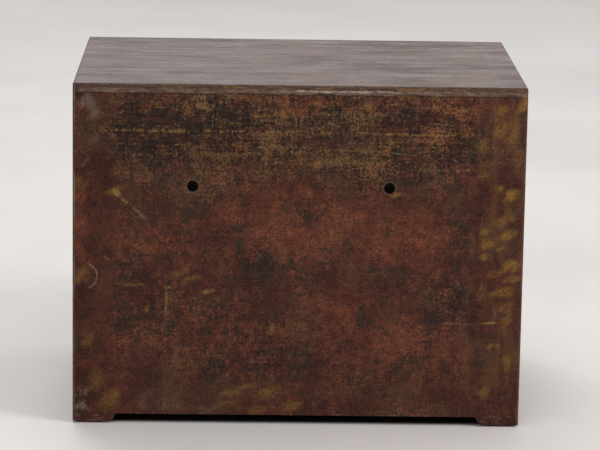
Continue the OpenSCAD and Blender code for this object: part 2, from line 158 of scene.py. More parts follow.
class Shade:
    """One material's node tree, with a short call for each kind of node that the looks are built from."""

    def __init__(self, name):
        self.material = bpy.data.materials.new(name)
        self.material.use_nodes = True
        self.tree = self.material.node_tree
        self.tree.nodes.clear()
        coordinates = self.node("ShaderNodeTexCoord")
        self.place = coordinates.outputs["Object"]
        self.x, self.y, self.z = self.split(self.place)
        self.facing = [self.math("ABSOLUTE", part) for part in self.split(coordinates.outputs["Normal"])]
        self.normal = self.split(coordinates.outputs["Normal"])

    def node(self, kind, inputs=None, **settings):
        made = self.tree.nodes.new(kind)
        for name, value in settings.items():
            setattr(made, name, value)
        for name, value in (inputs or {}).items():
            self.feed(made.inputs[name], value)
        return made

    def feed(self, socket, value):
        if isinstance(value, bpy.types.NodeSocket):
            self.tree.links.new(value, socket)
        else:
            socket.default_value = value

    def math(self, operation, *values, clamp=False):
        made = self.node("ShaderNodeMath", operation=operation, use_clamp=clamp)
        for socket, value in zip(made.inputs, values):
            self.feed(socket, value)
        return made.outputs[0]

    def fold(self, operation, values):
        total = values[0]
        for value in values[1:]:
            total = self.math(operation, total, value)
        return total

    def add(self, *values):
        return self.fold("ADD", values)

    def multiply(self, *values):
        return self.fold("MULTIPLY", values)

    def most(self, *values):
        return self.fold("MAXIMUM", values)

    def weigh(self, *pairs):
        """The sum of several values, each (value, weight)."""
        return self.add(*[self.multiply(value, weight) for value, weight in pairs])

    def split(self, vector):
        return self.node("ShaderNodeSeparateXYZ", {"Vector": vector}).outputs[:]

    def join(self, x, y, z=0.0):
        return self.node("ShaderNodeCombineXYZ", {"X": x, "Y": y, "Z": z}).outputs[0]

    def vector(self, operation, first, second=(0, 0, 0)):
        made = self.node("ShaderNodeVectorMath", operation=operation)
        self.feed(made.inputs[0], first)
        self.feed(made.inputs[1], second)
        return made.outputs["Value" if operation in ("DISTANCE", "LENGTH", "DOT_PRODUCT") else "Vector"]

    def scaled(self, vector, factors, offset=(0, 0, 0)):
        """The vector times factors, plus offset."""
        made = self.node("ShaderNodeVectorMath", operation="MULTIPLY_ADD")
        for socket, value in zip(made.inputs, (vector, factors, offset)):
            self.feed(socket, value)
        return made.outputs[0]

    def ramp(self, value, low, high, out=(0.0, 1.0)):
        """A smooth step from out[0] at low to out[1] at high. low may be the larger."""
        made = self.node("ShaderNodeMapRange", interpolation_type="SMOOTHSTEP")
        names = ("Value", "From Min", "From Max", "To Min", "To Max")
        limits = (low, high, *out) if low < high else (high, low, out[1], out[0])
        for name, number in zip(names, (value, *limits)):
            self.feed(made.inputs[name], number)
        return made.outputs["Result"]

    def band(self, value, low, high, soft):
        """1 between low and high, falling to 0 within soft on both sides."""
        return self.multiply(self.ramp(value, low - soft, low), self.ramp(value, high + soft, high))

    def noise(self, at, scale, detail, roughness, seed):
        """Solid noise from 0 to 1."""
        made = self.node("ShaderNodeTexNoise", {
            "Vector": at, "W": seed, "Scale": scale, "Detail": detail, "Roughness": roughness,
        }, noise_dimensions="4D")
        return made.outputs[0]

    def grain(self, at, scale, detail, roughness, seed):
        """Flat noise with a mean of 0 and a spread of about 1. scale may be one for each direction."""
        factors = scale if isinstance(scale, tuple) else (scale, scale)
        place = self.scaled(at, (*factors, 0), (SEED_STEP[0] * seed, SEED_STEP[1] * seed, 0))
        made = self.node("ShaderNodeTexNoise", {
            "Vector": place, "Scale": 1.0, "Detail": detail, "Roughness": roughness,
        }, noise_dimensions="2D")
        return self.math("MULTIPLY_ADD", made.outputs[0], 1 / NOISE_SPREAD, -NOISE_MEAN / NOISE_SPREAD)

    def blend(self, amount, first, second):
        """The number first where amount is 0 and second where it is 1."""
        made = self.node("ShaderNodeMix", {"Factor": amount}, data_type="FLOAT")
        self.feed(made.inputs[2], first)
        self.feed(made.inputs[3], second)
        return made.outputs[0]

    def mix(self, amount, first, second):
        """The colour first where amount is 0 and second where it is 1."""
        made = self.node("ShaderNodeMix", data_type="RGBA")
        self.feed(made.inputs["Factor"], amount)
        self.feed(made.inputs[6], rgba(first))
        self.feed(made.inputs[7], rgba(second))
        return made.outputs[2]

    def shaded(self, colour, amount):
        """The colour made lighter or darker by an amount about 1."""
        return self.vector("MULTIPLY", colour, self.join(amount, amount, amount))

    def patch(self, at, centre, radii):
        """1 at the centre of an oval, falling to 0 at its edge."""
        factors = (1 / radii[0], 1 / radii[1], 0)
        offset = (-centre[0] / radii[0], -centre[1] / radii[1], 0)
        return self.ramp(self.vector("LENGTH", self.scaled(at, factors, offset)), 1.0, PATCH_CORE)

    def patches(self, at, places):
        """The strongest of several ovals, each (across, up, radius across, radius up, strength)."""
        strongest = 0.0
        for place in places:
            drawn = self.multiply(self.patch(at, place[:2], place[2:4]), place[4])
            strongest = self.most(strongest, drawn)
        return strongest

    def stroke(self, at, start, end, half_width):
        """1 along the middle of a stroke between two points, falling to 0 at its sides and ends."""
        across, up = end[0] - start[0], end[1] - start[1]
        length = math.hypot(across, up)
        middle = (-(start[0] + end[0]) / 2, -(start[1] + end[1]) / 2, 0)
        from_middle = self.scaled(at, (1, 1, 0), middle)
        reach = 2 / length**2
        along = self.vector("DOT_PRODUCT", from_middle, (across * reach, up * reach, 0))
        reach = 1 / (length * half_width)
        beside = self.vector("DOT_PRODUCT", from_middle, (-up * reach, across * reach, 0))
        return self.ramp(self.vector("LENGTH", self.join(along, beside)), 1.0, STROKE_CORE)

    def strokes(self, at, places):
        """The strongest of several strokes, each (start, end, half width, strength)."""
        strongest = 0.0
        for start, end, half_width, strength in places:
            drawn = self.multiply(self.stroke(at, start, end, half_width), strength)
            strongest = self.most(strongest, drawn)
        return strongest

    def relief(self, height, distance, strength):
        bump = self.node("ShaderNodeBump", {"Height": height, "Distance": distance, "Strength": strength})
        return bump.outputs[0]

    def finish(self, colour, roughness, metallic, normal, specular_level=0.5):
        """Ends the tree in a Principled shader and gives back the material."""
        shader = self.node("ShaderNodeBsdfPrincipled", {"Base Color": rgba(colour), "Roughness": roughness})
        self.feed(shader.inputs["Metallic"], metallic)
        shader.inputs["Specular IOR Level"].default_value = specular_level
        self.feed(shader.inputs["Normal"], normal)
        output = self.node("ShaderNodeOutputMaterial")
        self.tree.links.new(shader.outputs[0], output.inputs["Surface"])
        return self.material


# ---------------------------------------------------------------- patinated steel

MAROON = (0.046, 0.0160, 0.0115)
SLATE = (0.0285, 0.0182, 0.0130)
RUST = (0.132, 0.0410, 0.0235)
UMBER = (0.070, 0.0410, 0.0220)
BLUE_BLACK = (0.0085, 0.0068, 0.0075)
GREEN_BLACK = (0.0180, 0.0165, 0.0110)
OCHRE = (0.250, 0.150, 0.045)
YELLOW = (0.222, 0.121, 0.023)
ORANGE = (0.230, 0.068, 0.028)
WORN = (0.165, 0.130, 0.102)
WORN_BROWN = (0.090, 0.056, 0.036)
STRIP = (0.168, 0.120, 0.086)
BARE = (0.520, 0.450, 0.380)
# The colours of the painted reflection on level surfaces, pale and brown.
SHEEN_PALE = (0.156, 0.106, 0.096)
SHEEN_BROWN = (0.084, 0.050, 0.042)

# Places on the back face, as (metres from its left edge as seen from behind, metres above the floor,
# radius across, radius up, strength).
DARK_AREAS = [
    (0.110, 0.400, 0.110, 0.060, 1.5), (0.200, 0.420, 0.110, 0.035, 1.2), (0.340, 0.425, 0.070, 0.024, 1.0),
    (0.450, 0.420, 0.100, 0.022, 0.9), (0.520, 0.372, 0.070, 0.045, 1.0), (0.430, 0.362, 0.120, 0.030, 0.7),
    (0.245, 0.225, 0.045, 0.055, 0.9), (0.508, 0.170, 0.055, 0.062, 1.0), (0.400, 0.058, 0.060, 0.024, 0.8),
    (0.110, 0.160, 0.090, 0.110, 0.7), (0.215, 0.110, 0.120, 0.070, 0.6), (0.320, 0.100, 0.070, 0.040, 0.4),
    (0.075, 0.240, 0.020, 0.110, 0.5), (0.150, 0.250, 0.060, 0.050, 0.4),
]
RED_AREAS = [
    (0.330, 0.270, 0.160, 0.090, 1.0), (0.430, 0.260, 0.110, 0.080, 0.9), (0.250, 0.300, 0.080, 0.050, 0.5),
    (0.440, 0.442, 0.160, 0.016, 0.8), (0.290, 0.440, 0.060, 0.013, 0.9), (0.470, 0.115, 0.090, 0.045, 0.8),
    (0.014, 0.270, 0.020, 0.070, 0.9), (0.150, 0.120, 0.130, 0.070, 0.5), (0.065, 0.410, 0.035, 0.040, 0.5),
    (0.056, 0.250, 0.008, 0.080, 0.7), (0.340, 0.150, 0.100, 0.060, 0.4), (0.311, 0.188, 0.020, 0.016, 0.7),
    (0.211, 0.094, 0.022, 0.020, 0.6), (0.080, 0.140, 0.010, 0.050, 0.6),
]
OCHRE_AREAS = [
    (0.250, 0.390, 0.110, 0.060, 1.0), (0.400, 0.362, 0.150, 0.040, 1.0), (0.530, 0.400, 0.070, 0.060, 0.5),
    (0.190, 0.452, 0.045, 0.009, 1.6), (0.180, 0.330, 0.110, 0.035, 0.6), (0.230, 0.070, 0.130, 0.040, 0.5),
    (0.330, 0.420, 0.200, 0.020, 0.4), (0.400, 0.020, 0.200, 0.010, 0.8),
]
GREY_SMEARS = [
    (0.014, 0.452, 0.020, 0.012, 0.75), (0.022, 0.444, 0.012, 0.016, 0.75),
    (0.026, 0.430, 0.010, 0.014, 0.6), (0.022, 0.425, 0.010, 0.005, 0.5),
    (0.026, 0.395, 0.006, 0.030, 0.35), (0.023, 0.360, 0.005, 0.016, 0.4),
    (0.032, 0.338, 0.008, 0.010, 0.35), (0.130, 0.026, 0.024, 0.014, 0.30),
    (0.185, 0.022, 0.030, 0.010, 0.22), (0.095, 0.030, 0.016, 0.016, 0.22),
    (0.445, 0.425, 0.016, 0.006, 0.35),
]
OCHRE_BLOTCHES = [
    (0.604, 0.450, 0.010, 0.016, 1.3), (0.572, 0.438, 0.016, 0.010, 0.5),
    (0.574, 0.412, 0.018, 0.016, 0.6), (0.553, 0.390, 0.013, 0.018, 0.5),
    (0.592, 0.408, 0.010, 0.022, 0.5), (0.552, 0.353, 0.012, 0.016, 0.5),
    (0.592, 0.323, 0.018, 0.011, 1.1), (0.573, 0.331, 0.010, 0.006, 0.7),
    (0.586, 0.290, 0.022, 0.010, 0.6), (0.560, 0.274, 0.012, 0.007, 0.8),
    (0.588, 0.267, 0.017, 0.010, 1.0), (0.560, 0.256, 0.018, 0.010, 0.9),
    (0.578, 0.251, 0.010, 0.005, 0.6), (0.558, 0.239, 0.012, 0.006, 0.8),
    (0.591, 0.224, 0.018, 0.013, 1.0), (0.572, 0.213, 0.014, 0.009, 0.5),
    (0.595, 0.206, 0.014, 0.006, 0.6), (0.581, 0.188, 0.020, 0.009, 0.9),
    (0.556, 0.187, 0.012, 0.018, 0.35), (0.585, 0.170, 0.016, 0.013, 0.5),
    (0.590, 0.152, 0.012, 0.008, 0.6), (0.571, 0.114, 0.018, 0.005, 0.8),
    (0.591, 0.095, 0.009, 0.022, 0.6), (0.560, 0.048, 0.012, 0.014, 0.6),
    (0.011, 0.333, 0.013, 0.016, 0.7), (0.012, 0.207, 0.015, 0.016, 0.9),
    (0.020, 0.117, 0.010, 0.014, 0.6), (0.029, 0.062, 0.015, 0.022, 0.6),
    (0.048, 0.032, 0.020, 0.018, 0.65), (0.058, 0.325, 0.016, 0.008, 0.7),
    (0.158, 0.203, 0.014, 0.006, 0.7), (0.055, 0.398, 0.006, 0.005, 1.0),
    (0.330, 0.362, 0.012, 0.007, 0.6), (0.440, 0.323, 0.007, 0.005, 0.8),
    (0.395, 0.440, 0.006, 0.008, 0.6), (0.215, 0.045, 0.020, 0.009, 0.5),
    (0.236, 0.055, 0.024, 0.004, 0.4), (0.270, 0.046, 0.020, 0.012, 0.5),
    (0.296, 0.027, 0.020, 0.009, 0.5), (0.254, 0.022, 0.016, 0.008, 0.5),
    (0.208, 0.028, 0.018, 0.007, 0.4), (0.269, 0.135, 0.009, 0.008, 0.7),
    (0.140, 0.211, 0.020, 0.008, 0.35), (0.101, 0.160, 0.006, 0.006, 0.7),
    (0.089, 0.132, 0.009, 0.004, 0.6),
]
# Strokes on the back face, as (start, end, half width, strength), with the same two directions.
OCHRE_STROKES = [
    ((0.052, 0.327), (0.068, 0.314), 0.0055, 0.65), ((0.062, 0.319), (0.079, 0.303), 0.0040, 0.50),
    ((0.076, 0.306), (0.104, 0.278), 0.0036, 0.38), ((0.127, 0.196), (0.127, 0.140), 0.0026, 0.55),
    ((0.122, 0.191), (0.136, 0.192), 0.0032, 0.5), ((0.167, 0.184), (0.198, 0.187), 0.0046, 0.6),
    ((0.552, 0.1455), (0.579, 0.1470), 0.0026, 0.8), ((0.040, 0.236), (0.052, 0.224), 0.0030, 0.5),
    ((0.064, 0.194), (0.106, 0.195), 0.0034, 0.4),
]
GREY_STROKES = [
    ((0.484, 0.1450), (0.566, 0.1445), 0.0013, 0.6), ((0.500, 0.1445), (0.522, 0.1470), 0.0018, 0.6),
    ((0.570, 0.168), (0.576, 0.150), 0.0018, 0.6), ((0.426, 0.379), (0.452, 0.377), 0.0022, 0.7),
]
# A curved scratch, as centre, radius and the least distance across at which it shows.
HOOK = ((0.0140, 0.2055), 0.0188, 0.0205)
# Where the two upright ground edges of the back end, across.
LEFT_BAND = 0.052
RIGHT_BAND = 0.548
# How much the brushed blotches rise for each metre across.
BLOTCH_LEAN = 0.22
# Heights above the floor. The low calm area starts fading in at the first number, going down, and the busy
# upper area at its first number, going up.
LOW_CALM = (0.070, 0.048)
BUSY_UPPER = (0.32, 0.38)
# A line's ghost, the worn strip's upper end, the yellow flecks above that, and the bright line below it.
GHOST_LINE = (0.4060, 0.4076)
STRIP_TOP = TOP_Z - 0.0060
YELLOW_LINE = (TOP_Z - 0.0048, TOP_Z - 0.0034)
BRIGHT_LINE = (0.4612, 0.4626)
# How far the ghost, the bright line and the dark joint below the strip, deepened with painted shadow, reach
# across.
GHOST_REACH = (0.05, 0.53)
BRIGHT_REACH = (0.335, 0.450)
SEAM_SHADOW_REACH = (0.02, 0.59)
# The strip's pale middle, and a rubbed patch on the left foot, as (centre, radii).
PALE_MIDDLE = ((0.390, 0.463), (0.150, 0.030))
FOOT_PATCH = ((0.012, 0.030), (0.018, 0.030))
# What lies further forward than this isn't the back face. It fades in to the second number.
BACK_START = (BACK_Y - 0.020, BACK_Y - 0.015)
# A surface counts as facing an axis from here on. It is fully so at the second number.
FACING_STEP = (0.69, 0.72)
# The noise that bends the listed areas, and how far it may move them, across and up.
WARP_SCALE = 26.0
WARP_REACH = (0.11, 0.08, 0.0)


def surface_place(s):
    """Metres across and up the surface, whichever way it faces, with a place of its own for each facing."""
    side, _, level = s.facing
    faces_side = s.ramp(side, *FACING_STEP)
    faces_up = s.ramp(level, *FACING_STEP)
    across = s.blend(faces_side, s.x, s.y)
    up = s.blend(faces_up, s.z, s.y)
    apart = s.weigh((faces_side, 3.1), (faces_up, 5.3), (s.normal[1], 1.7))
    return s.join(s.add(across, apart), up)


def layers(s, flat):
    """The noise that the patina is built from: broad to fine, threads that cross, and long thin strata."""
    g = SimpleNamespace(
        broad=s.grain(flat, 6.0, 4.0, 0.6, 1.0),
        cloud=s.grain(flat, 22.0, 5.0, 0.62, 2.0),
        clump=s.grain(flat, 85.0, 3.0, 0.6, 3.0),
        grit=s.grain(flat, 260.0, 2.0, 0.6, 4.0),
        fine=s.grain(flat, 400.0, 1.0, 0.5, 5.0),
    )
    across_threads = s.grain(flat, (45.0, 330.0), 2.0, 0.55, 6.0)
    upright_threads = s.grain(flat, (330.0, 45.0), 2.0, 0.55, 7.0)
    g.strata = s.grain(flat, (9.0, 110.0), 3.0, 0.6, 8.0)
    g.texture = s.weigh(
        (s.add(across_threads, upright_threads), 0.38), (g.grit, 0.55), (g.clump, 0.45), (g.cloud, 0.25),
    )
    return g


def places_on_back(s, flat, g):
    """What lies where on the back: metres from its left edge, and 0 to 1 for each kind of area."""
    left = s.math("SUBTRACT", HALF_WIDTH, s.x)
    true = s.join(left, s.z)
    # Warping keeps the listed areas from looking like ovals.
    warp_noise = s.node("ShaderNodeTexNoise", {
        "Vector": flat, "Scale": WARP_SCALE, "Detail": 4.0, "Roughness": 0.6,
    })
    warp = s.scaled(warp_noise.outputs["Color"], WARP_REACH, [-reach / 2 for reach in WARP_REACH])
    warped = s.vector("ADD", true, warp)
    on_face = s.multiply(s.ramp(s.normal[1], 0.55, 0.75), s.ramp(s.y, *BACK_START))
    wavy_left = s.add(left, s.multiply(g.cloud, 0.003))
    smooth_left = s.ramp(wavy_left, LEFT_BAND + 0.010, LEFT_BAND)
    smooth_right = s.ramp(wavy_left, RIGHT_BAND - 0.014, RIGHT_BAND)
    smooth_low = s.ramp(s.add(s.z, s.multiply(g.cloud, 0.004)), *LOW_CALM)
    return SimpleNamespace(
        left=left, true=true, warp=warp, on_face=on_face,
        calm=s.multiply(s.most(smooth_left, smooth_right, s.multiply(smooth_low, 0.6)), on_face),
        dark=s.multiply(s.patches(warped, DARK_AREAS), on_face),
        red=s.multiply(s.patches(warped, RED_AREAS), on_face),
        ochre=s.multiply(s.patches(warped, OCHRE_AREAS), on_face),
        upper=s.multiply(s.ramp(s.z, *BUSY_UPPER), on_face),
    )


def places_by_noise(s, flat, g):
    """The same kinds of area for what the photograph doesn't show, left to noise."""
    return SimpleNamespace(
        calm=s.ramp(g.broad, 0.6, 1.6),
        dark=s.multiply(s.ramp(g.broad, 0.2, -1.4), 0.8),
        red=s.multiply(s.ramp(s.grain(flat, 9.0, 3.0, 0.6, 21.0), -0.2, 1.2), 0.8),
        ochre=s.multiply(s.ramp(s.grain(flat, 11.0, 3.0, 0.6, 22.0), 0.6, 1.8), 0.9),
        upper=0.3,
    )


def oxide(s, flat, at, g):
    """The patina's colour, and how strongly it is stained."""
    # Large soft changes of colour.
    redness = s.add(s.weigh((at.red, 0.55), (g.broad, 0.08), (g.cloud, 0.10), (g.clump, 0.08)), 0.12)
    colour = s.mix(s.math("MAXIMUM", redness, 0.0, clamp=True), MAROON, RUST)
    olive = s.weigh((at.ochre, 0.5), (s.grain(flat, 13.0, 4.0, 0.6, 9.0), 0.28), (at.upper, 0.3))
    colour = s.mix(s.multiply(s.math("MAXIMUM", olive, 0.0, clamp=True), 0.75), colour, UMBER)

    # Dark stains, and over them the oxide's spots. busy is where the spots stand out.
    busy = s.most(at.upper, at.ochre, s.multiply(at.dark, 0.6))
    stain = s.weigh(
        (at.dark, 1.3), (s.grain(flat, 24.0, 4.0, 0.6, 17.0), 0.8), (g.texture, -0.30), (at.calm, -1.0),
    )
    stained = s.ramp(stain, 0.0, 2.2)
    colour = s.mix(s.multiply(stained, 0.80), colour, SLATE)
    spots = s.add(
        s.weigh((g.texture, -1.0), (at.dark, 0.9), (at.calm, -1.0)), s.multiply(g.strata, at.upper, 0.6),
    )
    spots = s.multiply(s.ramp(spots, -0.4, 2.2), s.add(0.17, s.multiply(busy, 0.51)))
    colour = s.mix(spots, colour, BLUE_BLACK)
    dots = s.weigh((s.grain(flat, 130.0, 2.0, 0.5, 23.0), 1.0), (g.cloud, 0.5), (at.calm, -1.0))
    colour = s.mix(s.multiply(s.ramp(dots, 0.9, 2.3), 0.45), colour, GREEN_BLACK)

    # Ochre and orange between the spots, and thin red strata.
    flecks = s.add(
        s.weigh(
            (g.texture, 0.7), (g.fine, 0.6), (g.cloud, 0.4), (at.ochre, 1.1), (at.calm, -1.4),
            (at.upper, 0.3), (at.dark, -0.3),
        ),
        s.multiply(g.strata, at.upper, -0.6),
    )
    flecks = s.multiply(s.ramp(flecks, 0.8, 3.4), s.add(0.07, s.multiply(busy, 0.19)))
    colour = s.mix(flecks, colour, OCHRE)
    embers = s.weigh(
        (s.grain(flat, 300.0, 2.0, 0.6, 10.0), 0.4), (g.clump, 0.7), (g.cloud, 0.7), (at.red, 0.6),
        (at.calm, -0.9),
    )
    colour = s.mix(s.multiply(s.ramp(embers, 0.4, 3.2), 0.13), colour, ORANGE)
    colour = s.mix(s.multiply(s.ramp(g.strata, 0.6, 2.4), 0.22), colour, RUST)
    return s.shaded(colour, s.add(1.0, s.weigh((g.fine, 0.08), (g.grit, 0.08)))), stained


def ground_sides(s, colour, at, g):
    """Brushed blotches and slanting strokes where the two upright edges of the back were ground."""
    lean = s.join(at.left, s.add(s.z, s.multiply(at.left, -BLOTCH_LEAN)))
    leaning = [(across, up - BLOTCH_LEAN * across, *rest) for across, up, *rest in OCHRE_BLOTCHES]
    lean_warped = s.vector("ADD", lean, s.scaled(at.warp, (0.34, 0.20, 0)))
    slant_place = s.join(s.add(at.left, s.multiply(s.z, -1.0)), s.add(at.left, s.z))
    slant = s.grain(slant_place, (400.0, 30.0), 1.0, 0.5, 11.0)
    brushed = s.ramp(s.add(g.texture, slant), -2.4, 1.8, (0.22, 0.66))
    blotches = s.multiply(s.patches(lean_warped, leaning), at.on_face, brushed)
    colour = s.mix(blotches, colour, YELLOW)
    strokes = s.multiply(
        s.ramp(at.left, 0.034, 0.012), s.ramp(slant, 0.0, 1.4), at.on_face, s.ramp(g.cloud, -0.2, 1.2),
    )
    colour = s.mix(s.multiply(strokes, 0.50), colour, ORANGE)
    drips = s.grain(lean_warped, (60.0, 15.0), 2.0, 0.5, 18.0)
    on_right = s.multiply(s.ramp(at.left, RIGHT_BAND - 0.030, RIGHT_BAND), at.on_face)
    colour = s.mix(s.multiply(s.ramp(drips, -0.4, 1.8), on_right, 0.10), colour, OCHRE)
    colour = s.mix(s.multiply(s.ramp(drips, -0.2, -1.8), on_right, 0.25), colour, BLUE_BLACK)
    on_left = s.multiply(s.ramp(at.left, LEFT_BAND + 0.020, LEFT_BAND - 0.010), at.on_face)
    return s.shaded(colour, s.add(1.0, s.multiply(on_left, -0.22)))


def ghost_line(s, colour, at, g):
    """The ochre trace of a level line near the top of the back."""
    height = s.add(s.z, s.multiply(g.cloud, 0.0006), s.multiply(at.left, 0.004))
    ghost = s.multiply(
        s.band(height, *GHOST_LINE, 0.0016), s.band(at.left, *GHOST_REACH, 0.03),
        s.ramp(s.add(g.cloud, g.clump, g.grit), -2.0, 2.4), at.on_face,
    )
    return s.mix(s.multiply(ghost, 0.42), colour, OCHRE)


def rubbed_lip(s, colour, at, g):
    """The top's rear lip: a dark joint below it with painted shadow under the lip's edge, yellow flecks
    along its bend and a worn strip between them, with a bright line in its middle. Gives back the colour,
    and where the strip is."""
    wave = s.grain(s.join(at.left, 0.0), 24.0, 4.0, 0.6, 12.0)
    above_seam = s.math("SUBTRACT", s.z, s.add(SEAM_Z + 0.0006, s.multiply(wave, 0.0008)))
    # The dark line below the lip: partly the real joint, partly painted shadow under the lip's edge.
    seam_shadow = s.multiply(
        s.band(above_seam, -0.0022, -0.0012, 0.0008), s.band(at.left, *SEAM_SHADOW_REACH, 0.02), at.on_face,
    )
    colour = s.mix(s.multiply(seam_shadow, 0.45), colour, BLUE_BLACK)
    strip = s.multiply(
        s.ramp(above_seam, -0.0012, 0.0012), s.ramp(s.z, STRIP_TOP + 0.0012, STRIP_TOP - 0.0012),
        s.ramp(at.left, 0.003, 0.012), at.on_face,
    )
    flecks = s.multiply(s.band(s.z, *YELLOW_LINE, 0.0010), s.ramp(wave, 0.1, 1.6), at.on_face)
    colour = s.mix(s.multiply(flecks, 0.45), colour, YELLOW)
    rub = s.grain(at.true, (40.0, 260.0), 3.0, 0.6, 13.0)
    middle = s.patch(at.true, *PALE_MIDDLE)
    paleness = s.ramp(s.add(rub, middle, s.multiply(g.cloud, 0.6)), -1.2, 1.6)
    strip_colour = s.mix(paleness, WORN_BROWN, STRIP)
    bright = s.multiply(
        s.band(s.add(s.z, s.multiply(wave, 0.0004)), *BRIGHT_LINE, 0.0008),
        s.band(at.left, *BRIGHT_REACH, 0.08),
    )
    strip_colour = s.mix(s.multiply(bright, s.ramp(rub, -1.5, 1.0), 0.85), strip_colour, BARE)
    colour = s.mix(s.multiply(strip, s.ramp(g.clump, -2.0, 1.5, (0.45, 0.78))), colour, strip_colour)
    return colour, strip


def rubbed_edges(s, colour, at, g):
    """A grey smear that curls down from the strip's left end, and the pale rubbed edges of the sheets.
    Gives back the colour, and where the sheets are rubbed."""
    rub_up = s.grain(at.true, (400.0, 16.0), 3.0, 0.6, 16.0)
    bent = s.vector("ADD", at.true, s.scaled(at.warp, (0.5, 0.5, 0)))
    smear = s.patches(bent, GREY_SMEARS)
    smear = s.multiply(smear, s.ramp(s.add(g.cloud, s.multiply(rub_up, 0.6)), -1.2, 1.2), at.on_face)
    colour = s.mix(s.multiply(smear, 0.60), colour, WORN)
    edge = s.multiply(
        s.ramp(at.left, 0.0042, 0.0022), s.ramp(rub_up, -0.6, 1.4), s.ramp(s.z, 0.10, 0.30, (0.35, 0.8)),
    )
    foot_edge = s.multiply(
        s.ramp(s.z, TOE_Z + 0.0030, TOE_Z + 0.0008), s.ramp(s.add(g.grit, g.cloud), 0.0, 3.0),
    )
    foot_patch = s.multiply(s.patch(at.true, *FOOT_PATCH), s.ramp(g.clump, -0.6, 1.2))
    rubbed = s.most(edge, s.multiply(foot_edge, 0.30), s.multiply(foot_patch, 0.5))
    rubbed = s.multiply(rubbed, at.on_face)
    return s.mix(rubbed, colour, WORN), rubbed


def scratches(s, colour, at, g):
    """Brush marks of ochre, and grey scratches, one of them a hook."""
    shaky = s.vector("ADD", at.true, s.scaled(at.warp, (0.06, 0.08, 0)))
    marks = s.multiply(
        s.strokes(shaky, OCHRE_STROKES), s.ramp(s.add(g.cloud, g.grit), -2.4, 1.2, (0.3, 0.9)), at.on_face,
    )
    colour = s.mix(marks, colour, OCHRE)
    centre, radius, start = HOOK
    from_centre = s.scaled(shaky, (1, 1, 0), (-centre[0], -centre[1], 0))
    from_arc = s.math("ABSOLUTE", s.math("SUBTRACT", s.vector("LENGTH", from_centre), radius))
    hook = s.multiply(s.ramp(from_arc, 0.0018, 0.0004), s.ramp(at.left, start, start + 0.004))
    lines = s.multiply(
        s.most(hook, s.strokes(shaky, GREY_STROKES)), s.ramp(g.grit, -2.0, 1.4, (0.20, 0.70)), at.on_face,
    )
    return s.mix(lines, colour, WORN)


def hole_rings(s, colour, at, g):
    """A paler brown ring round each of the two holes."""
    middle_x, _, middle_z = WALL_HOLES["pos_m"]
    rings = 0.0
    for sign in (1, -1):
        gap = s.vector("DISTANCE", s.join(s.x, s.z), (middle_x + sign * HOLE_SPREAD, middle_z, 0))
        gap = s.add(gap, s.multiply(g.cloud, 0.0004))
        rings = s.most(rings, s.ramp(gap, HOLE_RADIUS + 0.0042, HOLE_RADIUS + 0.0006))
    return s.mix(s.multiply(rings, at.on_face, 0.60), colour, WORN_BROWN)


def marks_on_back(s, colour, at, g):
    """All that lies at its own place on the back. Gives back the colour, and how worn the surface is."""
    colour = ground_sides(s, colour, at, g)
    colour = ghost_line(s, colour, at, g)
    colour, strip = rubbed_lip(s, colour, at, g)
    colour, rubbed = rubbed_edges(s, colour, at, g)
    colour = scratches(s, colour, at, g)
    colour = hole_rings(s, colour, at, g)
    return colour, s.most(s.multiply(strip, 0.6), s.multiply(rubbed, 0.3))


def painted_top_sheen(s, flat, colour, g):
    """The top's paler colour: a painted reflection on level surfaces, in streaks that run mostly along its
    length as if rubbed. Gives back the colour, where the surface is level, and the streaks."""
    streaks = s.grain(flat, (7.5, 46.0), 3.0, 0.56, 14.0)
    sheen_amount = s.weigh((streaks, 0.4), (g.cloud, 0.55), (g.clump, 0.2), (g.broad, 0.5))
    smudge = s.add(s.grain(flat, (7.0, 10.0), 5.0, 0.64, 19.0), s.multiply(streaks, 0.25))
    sheen_colour = s.mix(s.ramp(smudge, -0.8, 2.4), SHEEN_PALE, SHEEN_BROWN)
    sheened = s.mix(s.ramp(sheen_amount, -2.4, 1.8, (0.45, 1.0)), colour, sheen_colour)
    level = s.ramp(s.facing[2], 0.88, 0.99)
    return s.mix(level, colour, sheened), level, streaks


def patina(name, shine, edge_distance, behind=False):
    """Dark oxide, rust and ochre under lacquer. behind adds what has a place of its own on the back."""
    s = Shade(name)
    flat = surface_place(s)
    g = layers(s, flat)
    at = places_on_back(s, flat, g) if behind else places_by_noise(s, flat, g)
    colour, stained = oxide(s, flat, at, g)

    edge = s.add(edge_distance(s), s.weigh((g.cloud, 0.0007), (g.clump, 0.0005)))
    worn_edge = s.multiply(s.ramp(edge, 0.0036, 0.0010), s.ramp(s.add(g.cloud, g.grit), -1.6, 2.0))
    colour = s.mix(s.multiply(worn_edge, 0.55), colour, WORN)
    worn = s.multiply(worn_edge, 0.4)
    if behind:
        colour, worn_back = marks_on_back(s, colour, at, g)
        worn = s.most(worn, worn_back)
    # Painted reflection: level surfaces are given a paler, streaked colour.
    colour, level, streaks = painted_top_sheen(s, flat, colour, g)

    roughness = s.add(
        0.46, s.weigh((g.cloud, 0.02), (g.clump, 0.02), (stained, -0.05), (worn, -0.10)),
        s.multiply(level, s.add(s.weigh((streaks, 0.07), (g.clump, 0.02)), -0.10)),
    )
    # Paint texture, on sheet that is a little wavy. The top has less texture, and streaks instead.
    texture_depth = s.add(0.6, s.multiply(level, -0.42))
    height = s.add(
        s.multiply(g.texture, texture_depth), s.multiply(streaks, level, 0.5),
        s.weigh((g.cloud, 1.2), (g.broad, 5.0)),
    )
    return s.finish(colour, roughness, s.multiply(worn, 0.5), s.relief(height, 0.00010, 0.6), shine)


# ---------------------------------------------------------------- distance from worn edges


def middle_one(s, first, second, third):
    """The middle one of three values in size."""
    larger = s.most(first, second)
    smaller = s.math("MINIMUM", first, second)
    return s.most(smaller, s.math("MINIMUM", larger, third))


